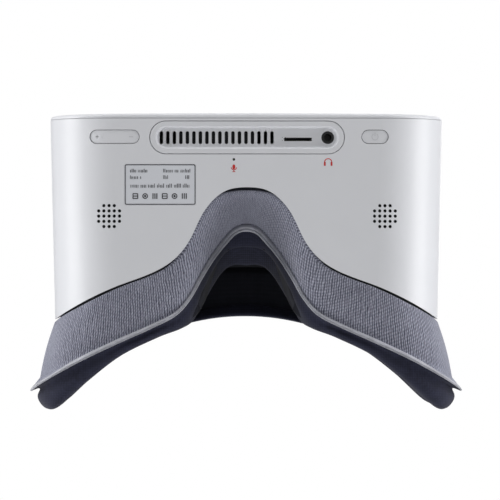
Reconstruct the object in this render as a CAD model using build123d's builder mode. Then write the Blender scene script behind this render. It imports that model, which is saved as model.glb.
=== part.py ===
from build123d import *
import os

# Standalone VR headset. Distances along the viewing axis are counted from the foremost point of the
# front cover towards the wearer's face. +X is the wearer's left to right across the display, +Y points
# at the wearer's face, +Z is up, and Z = 0 is the flat underside. Millimetres.

# Driving dimensions of the whole headset
DEPTH = 138.0
SHELL_HALF_WIDTH = 92.0
REAR_HALF_WIDTH = 89.7
SHELL_HEIGHT = 100.0
REAR_HEIGHT = 97.0
CORNER_RADIUS = 31.0
WALL = 2.2
COVER_THICKNESS = 2.2
COVER_BULGE = 0.6
COVER_ROUNDING = 1.4
SHELL_START = 2.4
SHELL_END = 100.0
PARTING_HEIGHT = 22.0
PARTING_GAP = 0.15
FLOOR_TRIM = 0.02

# Plan arcs: where the shell ends, where the fabric ends, and where the face touches the foam
SEAM_RADIUS = 160.2
SEAM_CENTRE = 228.2
LIP_RADIUS = 151.0
LIP_CENTRE = 239.0
FACE_RADIUS = 111.5
FACE_CENTRE = 206.5
SEAM_GAP = 0.6

# Underside features
PORT_PANEL_LENGTH = 90.0
PORT_PANEL_WIDTH = 15.5
PORT_CENTRE = 11.2
RECESS_DEPTH = 2.2
PANEL_THICKNESS = 4.6
VENT_COUNT = 18
VENT_PITCH = 3.0
VENT_START = -39.5
CARD_SLOT_X = 23.5
CARD_SLOT_DISTANCE = 12.0
JACK_X = 37.2
JACK_BORE_RADIUS = 1.775
ROCKER_X = -61.0
ROCKER_LENGTH = 22.5
ROCKER_WIDTH = 6.0
POWER_X = 58.9
POWER_LENGTH = 12.0
KEY_CENTRE = 10.9
KEY_RECESS = 0.4
KEY_SHOULDER = 5.2
KEY_TOP = 6.0
KEY_TRAVEL_GAP = 0.45
KEY_GAP = 0.25
MIC_X = -6.1
MIC_DISTANCE = 21.3
SPEAKER_X = 63.5
SPEAKER_DISTANCE = 47.4
SPEAKER_BASE = 5.6
GRILLE_PITCH = 2.4
GRILLE_HOLE_RADIUS = 0.75
LABEL_X = -40.0
LABEL_DISTANCE = 32.9
LABEL_LENGTH = 32.6
LABEL_WIDTH = 18.7
LABEL_CORNER = 0.9
STRAP_DISTANCE = 26.7
STRAP_HEIGHT = 50.0

# Inside
BOARD_DISTANCE = 13.3
BLOWER_X = -14.0
BLOWER_SIZE = 40.0
BLOWER_LOW = 6.0
BLOWER_FRONT = 8.0
IMPELLER_RADIUS = 13.0
MAINBOARD_DISTANCE = 18.0
DISPLAY_DISTANCE = 25.0
DISPLAY_WIDTH = 125.0
DISPLAY_HEIGHT = 72.0
EYE_X = 31.5
EYE_HEIGHT = 52.0
LENS_RADIUS = 21.5
BARREL_START = 32.0
BARREL_END = 68.0
LENS_DISTANCE = 70.0
CAMERA_HEIGHT = 88.0
USB_X = 45.0
USB_DISTANCE = 11.3
BEZEL_SCREWS = ((-72, 30), (72, 30), (-72, 74), (72, 74), (-18, 88), (18, 88))
BOARD_SCREWS = ((-60, 17), (-60, 83), (4, 17), (4, 83))

FAR = 400.0


def depth_plane(distance):
    """Vertical plane across the headset, facing forwards, at a distance behind the front."""
    return Plane.XZ.offset(DEPTH / 2 - distance)


def side(x):
    """Name of the wearer's side that a positive or negative x lies on."""
    return "right" if x > 0 else "left"


def half_width_at(distance):
    """Half width of the shell, which tapers evenly from front to rear."""
    share = (distance - SHELL_START) / (SHELL_END - SHELL_START)
    return SHELL_HALF_WIDTH + share * (REAR_HALF_WIDTH - SHELL_HALF_WIDTH)


def top_at(distance):
    """Height of the shell's top, which falls evenly from front to rear."""
    share = (distance - SHELL_START) / (SHELL_END - SHELL_START)
    return SHELL_HEIGHT + share * (REAR_HEIGHT - SHELL_HEIGHT)


def shell_section(distance, inset):
    """Rounded rectangle of the shell at a distance, as far inside the outer face as inset."""
    return (
        distance,
        half_width_at(distance) - inset,
        inset - FLOOR_TRIM,
        top_at(distance) - inset,
        CORNER_RADIUS - inset,
    )


def lofted_body(*sections):
    """Straight loft through rounded rectangles: (distance, half width, low, high, radius)."""
    with BuildPart() as body:
        for distance, half_width, low, high, radius in sections:
            with BuildSketch(depth_plane(distance)):
                with Locations((0, (low + high) / 2)):
                    RectangleRounded(2 * half_width, high - low, radius)
        loft(ruled=True)
    return body.part


def shell_body(inset):
    """Solid inside the shell's outer face, run past both ends when it is inset."""
    spare = 1.0 if inset > 0 else 0.0
    return lofted_body(
        shell_section(SHELL_START - spare, inset), shell_section(SHELL_END + spare, inset)
    )


def upright_cylinder(radius, centre_distance):
    """Vertical cylinder on the middle plane, taller than the headset."""
    with BuildPart() as cylinder:
        with BuildSketch(Plane.XY.offset(-SHELL_HEIGHT)):
            with Locations((0, centre_distance - DEPTH / 2)):
                Circle(radius)
        extrude(amount=3 * SHELL_HEIGHT)
    return cylinder.part


def block(x_range, distance_range, height_range):
    """Plain box between two x, two distances and two heights."""
    with BuildPart() as box:
        with BuildSketch(Plane.XY.offset(height_range[0])):
            with Locations((sum(x_range) / 2, sum(distance_range) / 2 - DEPTH / 2)):
                Rectangle(x_range[1] - x_range[0], distance_range[1] - distance_range[0])
        extrude(amount=height_range[1] - height_range[0])
    return box.part


def behind_seam_outline(gap):
    """Everything behind the seam on the underside, whose nose notch runs smoothly into the arc."""
    nose = (
        (0, 34.1), (9.0, 35.4), (16.2, 40.6), (21.5, 48.2), (25.2, 56.1), (30.2, 63.9), (37.0, 69.9),
        (47.0, 74.9), (60.0, 79.66),
    )
    right = [(x * (1 - gap / 30), distance + gap - DEPTH / 2) for x, distance in nose]
    left = [(-x, y) for x, y in reversed(right[1:])]
    arc = [(x, SEAM_CENTRE + gap - (SEAM_RADIUS**2 - x**2) ** 0.5 - DEPTH / 2) for x in (87.0, 110.0)]
    with BuildPart() as region:
        with BuildSketch(Plane.XY.offset(-5)):
            with BuildLine():
                Spline(*left, *right)
                ThreePointArc(right[-1], *arc)
                Polyline(arc[-1], (arc[-1][0], DEPTH), (-arc[-1][0], DEPTH), (-arc[-1][0], arc[-1][1]))
                ThreePointArc((-arc[-1][0], arc[-1][1]), (-arc[0][0], arc[0][1]), left[0])
            make_face()
        extrude(amount=PARTING_HEIGHT + 5)
    return region.part


def nose_tunnel(grow):
    """Space under the nose arch: a bell outline at the underside that narrows as it rises."""
    outlines = (
        (-1.0, ((0, 33.8), (13.6, 38.0), (22.0, 48.7), (27.6, 61.0), (32.0, 80.0), (35.0, 110.0))),
        (36.0, ((0, 53.0), (5.5, 55.5), (8.6, 62.0), (9.6, 75.0), (10.0, 90.0), (10.0, 110.0))),
    )
    with BuildPart() as tunnel:
        for height, half in outlines:
            stretch = 1 + grow / half[-1][0]
            right = [(x * stretch, distance - grow * (1 - x / 50) - DEPTH / 2) for x, distance in half]
            left = [(-x, y) for x, y in reversed(right[1:])]
            with BuildSketch(Plane.XY.offset(height)):
                with BuildLine():
                    Spline(*left, *right)
                    Polyline(right[-1], (right[-1][0], DEPTH), (left[0][0], DEPTH), left[0])
                make_face()
        loft(ruled=True)
    return tunnel.part


def save(part, label):
    """Label a finished sub-part and write it to its own file."""
    part.label = label
    export_step(part, f"parts/{label}.step")


os.makedirs("parts", exist_ok=True)

shell_outer = shell_body(0)
shell_inner = shell_body(WALL)
shell_liner = shell_body(WALL + 0.3)
behind_seam = upright_cylinder(SEAM_RADIUS, SEAM_CENTRE)
below_parting = block((-FAR, FAR), (-FAR, FAR), (0, PARTING_HEIGHT - PARTING_GAP / 2))
above_parting = block((-FAR, FAR), (-FAR, FAR), (PARTING_HEIGHT + PARTING_GAP / 2, FAR))

# Front cover: a slightly bulged plate with a rounded rim and a round camera hole
cover_bulge_radius = (SHELL_HALF_WIDTH**2 + COVER_BULGE**2) / (2 * COVER_BULGE)
cover_outline = lofted_body(shell_section(-5.0, 0.2), shell_section(COVER_THICKNESS, 0.2))
with BuildPart() as cover_rim:
    add(shell_body(WALL + 0.15))
    add(shell_body(WALL + 1.35), mode=Mode.SUBTRACT)
    add(block((-FAR, FAR), (1.5, 5.2), (14, FAR)), mode=Mode.INTERSECT)

with BuildPart() as front_cover:
    with BuildSketch():
        with BuildLine():
            rim_y = COVER_BULGE - DEPTH / 2
            ThreePointArc(
                (-SHELL_HALF_WIDTH - 1, rim_y), (0, -DEPTH / 2), (SHELL_HALF_WIDTH + 1, rim_y)
            )
            Polyline(
                (SHELL_HALF_WIDTH + 1, rim_y),
                (SHELL_HALF_WIDTH + 1, COVER_THICKNESS - DEPTH / 2),
                (-SHELL_HALF_WIDTH - 1, COVER_THICKNESS - DEPTH / 2),
                (-SHELL_HALF_WIDTH - 1, rim_y),
            )
        make_face()
    extrude(amount=SHELL_HEIGHT)
    add(cover_outline, mode=Mode.INTERSECT)
    front_face = front_cover.faces().sort_by(Axis.Y)[0]
    fillet(front_face.edges(), radius=COVER_ROUNDING)
    with BuildSketch(depth_plane(-1)):
        with Locations((0, CAMERA_HEIGHT)):
            Circle(5.6)
    extrude(amount=-FAR, mode=Mode.SUBTRACT)
    add(cover_rim.part)
save(front_cover.part, "front_cover")

with BuildPart() as camera_bezel:
    with BuildSketch(depth_plane(0.2)):
        with Locations((0, CAMERA_HEIGHT)):
            Circle(5.5)
            Circle(4.3, mode=Mode.SUBTRACT)
    extrude(amount=-2.6)
    chamfer(camera_bezel.edges().group_by(Axis.Y)[0], length=0.3)
save(camera_bezel.part, "camera_bezel")

with BuildPart() as camera_window:
    with BuildSketch(depth_plane(0.5)):
        with Locations((0, CAMERA_HEIGHT)):
            Circle(4.25)
    extrude(amount=-0.9)
save(camera_window.part, "camera_window")

with BuildPart() as camera_module:
    with BuildSketch(depth_plane(3.0)):
        with Locations((0, CAMERA_HEIGHT)):
            RectangleRounded(8.5, 8.5, 0.8)
    extrude(amount=-4.0)
    with BuildSketch(depth_plane(3.0)):
        with Locations((0, CAMERA_HEIGHT)):
            Circle(3.0)
    extrude(amount=1.4)
save(camera_module.part, "camera_module")

# Brackets on the lower shell that the upright boards lean on
with BuildPart() as board_brackets:
    with BuildSketch():
        for x in (-73.0, -49.0, 49.0, 67.0):
            with Locations((x, BOARD_DISTANCE + 2.2 - DEPTH / 2)):
                Rectangle(2.4, 2.4)
    extrude(amount=16)
    add(shell_body(WALL / 2), mode=Mode.INTERSECT)

# Lower shell, with the openings in its underside
with BuildPart() as lower_shell:
    add(shell_outer)
    add(shell_inner, mode=Mode.SUBTRACT)
    add(below_parting, mode=Mode.INTERSECT)
    add(behind_seam_outline(0), mode=Mode.SUBTRACT)
    with BuildSketch(Plane.XY.offset(-1)):
        with Locations((0, PORT_CENTRE - DEPTH / 2)):
            SlotOverall(PORT_PANEL_LENGTH, PORT_PANEL_WIDTH)
        with Locations((ROCKER_X, KEY_CENTRE - DEPTH / 2)):
            SlotOverall(ROCKER_LENGTH + 2 * KEY_GAP, ROCKER_WIDTH + 2 * KEY_GAP)
        with Locations((POWER_X, KEY_CENTRE - DEPTH / 2)):
            SlotOverall(POWER_LENGTH + 2 * KEY_GAP, ROCKER_WIDTH + 2 * KEY_GAP)
        with Locations((MIC_X, MIC_DISTANCE - DEPTH / 2)):
            Circle(0.6)
        for x in (-SPEAKER_X, SPEAKER_X):
            with Locations((x, SPEAKER_DISTANCE - DEPTH / 2)):
                with GridLocations(GRILLE_PITCH, GRILLE_PITCH, 5, 3):
                    Circle(GRILLE_HOLE_RADIUS)
                with GridLocations(GRILLE_PITCH, 4 * GRILLE_PITCH, 3, 2):
                    Circle(GRILLE_HOLE_RADIUS)
    extrude(amount=3 * WALL, mode=Mode.SUBTRACT)
    with BuildSketch():
        with Locations((LABEL_X, LABEL_DISTANCE - DEPTH / 2)):
            RectangleRounded(LABEL_LENGTH + 0.2, LABEL_WIDTH + 0.2, LABEL_CORNER + 0.1)
    extrude(amount=0.3, mode=Mode.SUBTRACT)
    add(board_brackets.part)
save(lower_shell.part, "lower_shell")

# Ribs inside the upper shell that the bezel screws bite into
with BuildPart() as screw_ribs:
    with BuildSketch(depth_plane(0)):
        for x, z in BEZEL_SCREWS:
            if z > 80:
                with Locations((x, z + 4)):
                    Rectangle(5, 14)
            else:
                with Locations((x + (8 if x > 0 else -8), z)):
                    Rectangle(22, 5)
    extrude(amount=-DEPTH)
    add(shell_body(WALL - 0.6), mode=Mode.INTERSECT)
    add(upright_cylinder(SEAM_RADIUS + 17.0, SEAM_CENTRE), mode=Mode.INTERSECT)
    add(upright_cylinder(SEAM_RADIUS + 7.3, SEAM_CENTRE), mode=Mode.SUBTRACT)
    with BuildSketch(depth_plane(0)):
        with Locations(*BEZEL_SCREWS):
            Circle(1.0)
    extrude(amount=-DEPTH, mode=Mode.SUBTRACT)

# Upper shell, with the strap holes, the charging port and the warm air slots
with BuildPart() as upper_shell:
    add(shell_outer)
    add(shell_inner, mode=Mode.SUBTRACT)
    add(above_parting, mode=Mode.INTERSECT)
    add(behind_seam, mode=Mode.SUBTRACT)
    with BuildSketch(Plane.YZ.offset(-SHELL_HALF_WIDTH - 1)):
        with Locations((STRAP_DISTANCE - DEPTH / 2, STRAP_HEIGHT)):
            Circle(4.6)
    extrude(amount=2 * SHELL_HALF_WIDTH + 2, mode=Mode.SUBTRACT)
    with BuildSketch(Plane.XY.offset(SHELL_HEIGHT - 2 * WALL)):
        with Locations((USB_X, USB_DISTANCE - DEPTH / 2)):
            SlotOverall(9.6, 3.9)
        with Locations((BLOWER_X, USB_DISTANCE - DEPTH / 2)):
            with GridLocations(4.0, 1.0, 10, 1):
                SlotOverall(8.0, 1.8, rotation=90)
    extrude(amount=4 * WALL, mode=Mode.SUBTRACT)
    add(screw_ribs.part)
save(upper_shell.part, "upper_shell")

# Port panel: a flush stadium with a tapered recess, the air slots, the card slot and the jack hole
with BuildPart() as port_panel:
    with BuildSketch():
        with Locations((0, PORT_CENTRE - DEPTH / 2)):
            SlotOverall(PORT_PANEL_LENGTH - 0.6, PORT_PANEL_WIDTH - 0.6)
    extrude(amount=WALL)
    with BuildSketch(Plane.XY.offset(WALL)):
        with Locations((0, PORT_CENTRE - DEPTH / 2)):
            SlotOverall(PORT_PANEL_LENGTH + 1.2, PORT_PANEL_WIDTH + 1.2)
    extrude(amount=PANEL_THICKNESS - WALL)
    chamfer(port_panel.edges().group_by(Axis.Z)[0], length=0.25)
    with BuildSketch():
        with Locations((0, PORT_CENTRE - DEPTH / 2)):
            SlotOverall(84.5, 10.5)
    extrude(amount=RECESS_DEPTH, taper=24, mode=Mode.SUBTRACT)
    with BuildSketch():
        for step in range(VENT_COUNT):
            with Locations((VENT_START + step * VENT_PITCH, PORT_CENTRE - DEPTH / 2)):
                SlotOverall(6.0, 1.6, rotation=90)
        with Locations((CARD_SLOT_X, CARD_SLOT_DISTANCE - DEPTH / 2)):
            Rectangle(12.8, 1.65)
        with Locations((JACK_X, PORT_CENTRE - DEPTH / 2)):
            Circle(2.95)
    extrude(amount=PANEL_THICKNESS, mode=Mode.SUBTRACT)
save(port_panel.part, "port_panel")

with BuildPart() as label_plate:
    with BuildSketch(Plane.XY.offset(0.05)):
        with Locations((LABEL_X, LABEL_DISTANCE - DEPTH / 2)):
            RectangleRounded(LABEL_LENGTH, LABEL_WIDTH, LABEL_CORNER)
    extrude(amount=0.2)
save(label_plate.part, "label_plate")

# Keys: pills that follow the underside just below flush, each with a shoulder that keeps it in
key_face = shell_body(KEY_RECESS)
key_shoulder_limit = shell_body(WALL + KEY_TRAVEL_GAP)
for label, x, length in (
    ("volume_rocker", ROCKER_X, ROCKER_LENGTH),
    ("power_button", POWER_X, POWER_LENGTH),
):
    with BuildPart() as shoulder:
        with BuildSketch(Plane.XY.offset(KEY_SHOULDER)):
            with Locations((x, KEY_CENTRE - DEPTH / 2)):
                SlotOverall(length + 1.6, ROCKER_WIDTH - 1.4)
        extrude(amount=KEY_TOP - KEY_SHOULDER)
        add(key_shoulder_limit, mode=Mode.INTERSECT)
    with BuildPart() as key:
        with BuildSketch():
            with Locations((x, KEY_CENTRE - DEPTH / 2)):
                SlotOverall(length, ROCKER_WIDTH)
        extrude(amount=KEY_TOP)
        add(key_face, mode=Mode.INTERSECT)
        add(shoulder.part)
    save(key.part, label)

# Upright circuit boards behind the underside features
board_plane = depth_plane(BOARD_DISTANCE)
with BuildPart() as volume_board:
    with BuildSketch(board_plane):
        with Locations((ROCKER_X, 12.0)):
            Rectangle(28, 10)
        with Locations((ROCKER_X - 11, 14.0), (ROCKER_X + 11, 14.0)):
            Circle(1.1, mode=Mode.SUBTRACT)
    extrude(amount=-1.0)
save(volume_board.part, "volume_board")

with BuildPart() as port_board:
    with BuildSketch(board_plane):
        with Locations((43.0, 15.0)):
            Rectangle(54, 16)
        with Locations((JACK_X, 12.0)):
            Rectangle(8.4, 14, mode=Mode.SUBTRACT)
        with Locations((JACK_X + 14, 20.5), (CARD_SLOT_X - 4, 21.4)):
            Circle(1.0, mode=Mode.SUBTRACT)
    extrude(amount=-1.0)
save(port_board.part, "port_board")

# Right-angle push switches, a hair above the keys
for label, centres in (
    ("volume_switches", (ROCKER_X - 6.0, ROCKER_X + 6.0)),
    ("power_switch", (POWER_X,)),
):
    with BuildPart() as switches:
        for x in centres:
            with BuildSketch(Plane.XY.offset(KEY_TOP + 2.0)):
                with Locations((x, BOARD_DISTANCE - 2.1 - DEPTH / 2)):
                    Rectangle(4.6, 4.2)
            extrude(amount=3.4)
            with BuildSketch(Plane.XY.offset(KEY_TOP + KEY_TRAVEL_GAP)):
                with Locations((x, KEY_CENTRE - DEPTH / 2)):
                    Circle(1.0)
            extrude(amount=2.0 - KEY_TRAVEL_GAP)
    save(switches.part, label)

with BuildPart() as microsd_socket:
    with BuildSketch(Plane.XY.offset(PANEL_THICKNESS)):
        with Locations((CARD_SLOT_X, CARD_SLOT_DISTANCE - DEPTH / 2)):
            Rectangle(14.0, 2.4)
    extrude(amount=15.0)
    with BuildSketch(Plane.XY.offset(PANEL_THICKNESS)):
        with Locations((CARD_SLOT_X, CARD_SLOT_DISTANCE - DEPTH / 2)):
            Rectangle(11.4, 1.0)
    extrude(amount=13.5, mode=Mode.SUBTRACT)
save(microsd_socket.part, "microsd_socket")

with BuildPart() as audio_jack:
    with BuildSketch(Plane.XY.offset(RECESS_DEPTH + 0.4)):
        with Locations((JACK_X, PORT_CENTRE - DEPTH / 2)):
            Circle(2.9)
    extrude(amount=PANEL_THICKNESS - RECESS_DEPTH - 0.4)
    with BuildSketch(Plane.XY.offset(PANEL_THICKNESS)):
        with Locations((JACK_X, PORT_CENTRE - DEPTH / 2)):
            RectangleRounded(7.6, 6.8, 0.6)
    extrude(amount=13.6)
    with BuildSketch(Plane.XY.offset(RECESS_DEPTH)):
        with Locations((JACK_X, PORT_CENTRE - DEPTH / 2)):
            Circle(JACK_BORE_RADIUS)
    extrude(amount=14.4, mode=Mode.SUBTRACT)
save(audio_jack.part, "audio_jack")

with BuildPart() as mic_boot:
    with BuildSketch(Plane.XY.offset(WALL)):
        with Locations((MIC_X, MIC_DISTANCE - DEPTH / 2)):
            RectangleRounded(5.0, 3.2, 0.8)
            Circle(0.6, mode=Mode.SUBTRACT)
    extrude(amount=1.2)
save(mic_boot.part, "mic_boot")

with BuildPart() as microphone:
    with BuildSketch(Plane.XY.offset(WALL + 1.2)):
        with Locations((MIC_X, MIC_DISTANCE - DEPTH / 2)):
            Rectangle(7.0, 3.2)
    extrude(amount=0.8)
    with BuildSketch(Plane.XY.offset(WALL + 2.0)):
        with Locations((MIC_X, MIC_DISTANCE - DEPTH / 2)):
            RectangleRounded(3.8, 2.6, 0.3)
    extrude(amount=1.0)
save(microphone.part, "microphone")

# Speakers behind the two grilles, each on a mesh and a seal that follow the curved floor
speaker_places = tuple((x, SPEAKER_DISTANCE - DEPTH / 2) for x in (-SPEAKER_X, SPEAKER_X))
for place in speaker_places:
    with BuildPart() as speaker:
        with BuildSketch(Plane.XY.offset(SPEAKER_BASE)):
            with Locations(place):
                Circle(10.0)
        extrude(amount=2.4)
        with BuildSketch(Plane.XY.offset(SPEAKER_BASE + 2.4)):
            with Locations(place):
                Circle(7.0)
        extrude(amount=2.6)
        fillet(speaker.edges().group_by(Axis.Z)[-1], radius=0.5)
    save(speaker.part, f"speaker_{side(place[0])}")

with BuildPart() as speaker_meshes:
    with BuildSketch():
        with Locations(*speaker_places):
            Circle(8.0)
    extrude(amount=SPEAKER_BASE)
    add(shell_body(WALL + 0.05), mode=Mode.INTERSECT)
    add(shell_body(WALL + 0.25), mode=Mode.SUBTRACT)
save(speaker_meshes.part, "speaker_meshes")

with BuildPart() as speaker_seals:
    with BuildSketch():
        with Locations(*speaker_places):
            Circle(9.4)
            Circle(7.4, mode=Mode.SUBTRACT)
    extrude(amount=SPEAKER_BASE)
    add(shell_body(WALL + 0.3), mode=Mode.INTERSECT)
save(speaker_seals.part, "speaker_seals")

# Blower above the air slots: an open scroll, a flat lid and the wheel
blower_centre = BLOWER_LOW + BLOWER_SIZE / 2
with BuildPart() as blower_housing:
    with BuildSketch(depth_plane(BLOWER_FRONT)):
        with Locations((BLOWER_X, blower_centre)):
            RectangleRounded(BLOWER_SIZE, BLOWER_SIZE, 2.5)
    extrude(amount=-5.6)
    with BuildSketch(depth_plane(BLOWER_FRONT)):
        with Locations((BLOWER_X, blower_centre)):
            Circle(17.0)
        with Locations((BLOWER_X + 9, blower_centre + 12)):
            Rectangle(16, 24)
    extrude(amount=-4.8, mode=Mode.SUBTRACT)
    with BuildSketch(depth_plane(BLOWER_FRONT + 4.8)):
        with Locations((BLOWER_X, blower_centre)):
            Circle(1.5)
    extrude(amount=3.6)
    with BuildSketch(depth_plane(BLOWER_FRONT + 5.6)):
        with Locations((BLOWER_X - 17.5, 9), (BLOWER_X + 17.5, 9), (BLOWER_X - 17.5, 43)):
            Circle(1.6)
    extrude(amount=-(MAINBOARD_DISTANCE - BLOWER_FRONT - 5.6))
save(blower_housing.part, "blower_housing")

with BuildPart() as blower_lid:
    with BuildSketch(depth_plane(BLOWER_FRONT - 0.6)):
        with Locations((BLOWER_X, blower_centre)):
            RectangleRounded(BLOWER_SIZE, BLOWER_SIZE, 2.5)
            Circle(11.0, mode=Mode.SUBTRACT)
    extrude(amount=-0.6)
save(blower_lid.part, "blower_lid")

with BuildPart() as blower_impeller:
    with BuildSketch(depth_plane(BLOWER_FRONT + 0.5)):
        with Locations((BLOWER_X, blower_centre)):
            Circle(7.0)
            Circle(1.55, mode=Mode.SUBTRACT)
    extrude(amount=-3.6)
    with BuildSketch(depth_plane(BLOWER_FRONT + 3.4)):
        with Locations((BLOWER_X, blower_centre)):
            Circle(IMPELLER_RADIUS)
            Circle(6.9, mode=Mode.SUBTRACT)
    extrude(amount=-0.7)
    with BuildSketch(depth_plane(BLOWER_FRONT + 0.7)):
        with Locations((BLOWER_X, blower_centre)):
            with PolarLocations(9.8, 19):
                Rectangle(6.4, 0.7, rotation=28)
    extrude(amount=-3.0)
save(blower_impeller.part, "blower_impeller")

# Main board, its shields, and the finned cooler over the processor
cooler_low = BLOWER_LOW + BLOWER_SIZE + 3
with BuildPart() as mainboard:
    with BuildSketch(depth_plane(MAINBOARD_DISTANCE)):
        with Locations((-36.0, 47.0)):
            RectangleRounded(88, 78, 3)
        with Locations(*BOARD_SCREWS):
            Circle(1.3, mode=Mode.SUBTRACT)
        with Locations((-80, 8)):
            Rectangle(18, 12, rotation=45, mode=Mode.SUBTRACT)
    extrude(amount=-1.2)
save(mainboard.part, "mainboard")

with BuildPart() as processor_shield:
    with BuildSketch(depth_plane(MAINBOARD_DISTANCE - 2.4)):
        with Locations((BLOWER_X, cooler_low + 15)):
            RectangleRounded(26, 26, 1.0)
    extrude(amount=-2.4)
    chamfer(processor_shield.edges().group_by(Axis.Y)[0], length=0.4)
save(processor_shield.part, "processor_shield")

with BuildPart() as radio_shield:
    with BuildSketch(depth_plane(MAINBOARD_DISTANCE - 2.2)):
        with Locations((-58, 66)):
            RectangleRounded(22, 18, 1.0)
    extrude(amount=-2.2)
    chamfer(radio_shield.edges().group_by(Axis.Y)[0], length=0.4)
save(radio_shield.part, "radio_shield")

with BuildPart() as thermal_pad:
    with BuildSketch(depth_plane(MAINBOARD_DISTANCE - 2.9)):
        with Locations((BLOWER_X, cooler_low + 15)):
            Rectangle(20, 20)
    extrude(amount=-0.5)
save(thermal_pad.part, "thermal_pad")

with BuildPart() as heatsink:
    with BuildSketch(depth_plane(MAINBOARD_DISTANCE - 4.2)):
        with Locations((BLOWER_X, cooler_low + 15)):
            Rectangle(40, 30)
    extrude(amount=-1.3)
    with BuildSketch(depth_plane(BLOWER_FRONT)):
        with Locations((BLOWER_X, cooler_low + 15)):
            with GridLocations(3.9, 1.0, 11, 1):
                Rectangle(0.9, 30)
    extrude(amount=BLOWER_FRONT - MAINBOARD_DISTANCE + 4.2)
save(heatsink.part, "heatsink")

# Battery on its tray
with BuildPart() as battery_pack:
    with BuildSketch(depth_plane(6.5)):
        with Locations((47, 56)):
            RectangleRounded(62, 52, 2.0)
    extrude(amount=-9.0)
    fillet(battery_pack.edges().filter_by(GeomType.LINE), radius=1.0)
save(battery_pack.part, "battery_pack")

with BuildPart() as battery_tray:
    with BuildSketch(depth_plane(6.0)):
        with Locations((47, 56)):
            RectangleRounded(65.4, 55.4, 2.5)
            Rectangle(62.4, 52.4, mode=Mode.SUBTRACT)
    extrude(amount=-9.6)
    with BuildSketch(depth_plane(15.6)):
        with Locations((47, 56)):
            RectangleRounded(65.4, 55.4, 2.5)
    extrude(amount=-1.2)
    with BuildSketch(depth_plane(16.8)):
        with Locations((22, 32), (22, 80), (60, 32), (60, 80)):
            Circle(2.0)
    extrude(amount=-(DISPLAY_DISTANCE - 2.0 - 16.8))
save(battery_tray.part, "battery_tray")

# Charging port in the top, on its own small board
usb_top = top_at(USB_DISTANCE) - WALL
with BuildPart() as usb_port:
    with BuildSketch(Plane.XY.offset(usb_top - 6.8)):
        with Locations((USB_X, USB_DISTANCE - DEPTH / 2)):
            SlotOverall(8.94, 3.26)
            SlotOverall(8.34, 2.56, mode=Mode.SUBTRACT)
    extrude(amount=7.3)
    with BuildSketch(Plane.XY.offset(usb_top - 6.8)):
        with Locations((USB_X, USB_DISTANCE - DEPTH / 2)):
            SlotOverall(8.94, 3.26)
    extrude(amount=0.9)
    with BuildSketch(Plane.XY.offset(usb_top - 6.4)):
        with Locations((USB_X, USB_DISTANCE - DEPTH / 2)):
            Rectangle(6.7, 0.7)
    extrude(amount=5.4)
save(usb_port.part, "usb_port")

with BuildPart() as usb_board:
    with BuildSketch(Plane.XY.offset(usb_top - 7.8)):
        with Locations((USB_X, USB_DISTANCE - DEPTH / 2)):
            Rectangle(20, 9)
    extrude(amount=1.0)
save(usb_board.part, "usb_board")

# Display in its frame, and the optical frame that carries both lens barrels
with BuildPart() as display_panel:
    with BuildSketch(depth_plane(DISPLAY_DISTANCE)):
        with Locations((0, EYE_HEIGHT)):
            RectangleRounded(DISPLAY_WIDTH, DISPLAY_HEIGHT, 1.5)
    extrude(amount=-2.0)
save(display_panel.part, "display_panel")

with BuildPart() as display_frame:
    with BuildSketch(depth_plane(DISPLAY_DISTANCE - 2.0)):
        with Locations((0, EYE_HEIGHT)):
            RectangleRounded(DISPLAY_WIDTH + 4, DISPLAY_HEIGHT + 4, 3.0)
    extrude(amount=-6.8)
    with BuildSketch(depth_plane(DISPLAY_DISTANCE - 0.6)):
        with Locations((0, EYE_HEIGHT)):
            Rectangle(DISPLAY_WIDTH + 0.4, DISPLAY_HEIGHT + 0.4)
    extrude(amount=-6.0, mode=Mode.SUBTRACT)
    with BuildSketch(depth_plane(DISPLAY_DISTANCE - 3.0)):
        with Locations((-40, EYE_HEIGHT + 30)):
            Rectangle(20, 4)
    extrude(amount=-3.0, mode=Mode.SUBTRACT)
    with BuildSketch(depth_plane(MAINBOARD_DISTANCE + 1.2)):
        with Locations(*BOARD_SCREWS):
            Circle(2.4)
            Circle(1.0, mode=Mode.SUBTRACT)
    extrude(amount=-(DISPLAY_DISTANCE - 2.0 - MAINBOARD_DISTANCE - 1.2))
save(display_frame.part, "display_frame")

with BuildPart() as display_flex:
    with BuildSketch(depth_plane(MAINBOARD_DISTANCE + 1.2)):
        with Locations((-40, EYE_HEIGHT + 30)):
            Rectangle(16, 2.4)
    extrude(amount=-(DISPLAY_DISTANCE - MAINBOARD_DISTANCE - 1.2))
save(display_flex.part, "display_flex")

barrel_plan = ((-EYE_X, EYE_HEIGHT), (EYE_X, EYE_HEIGHT))
with BuildPart() as optical_frame:
    with BuildSketch(depth_plane(BARREL_START - 2.2)):
        with Locations((0, EYE_HEIGHT)):
            RectangleRounded(DISPLAY_WIDTH + 30, DISPLAY_HEIGHT + 8, 14)
        with Locations(*barrel_plan):
            Circle(25.0, mode=Mode.SUBTRACT)
    extrude(amount=-2.2)
save(optical_frame.part, "optical_frame")

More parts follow.
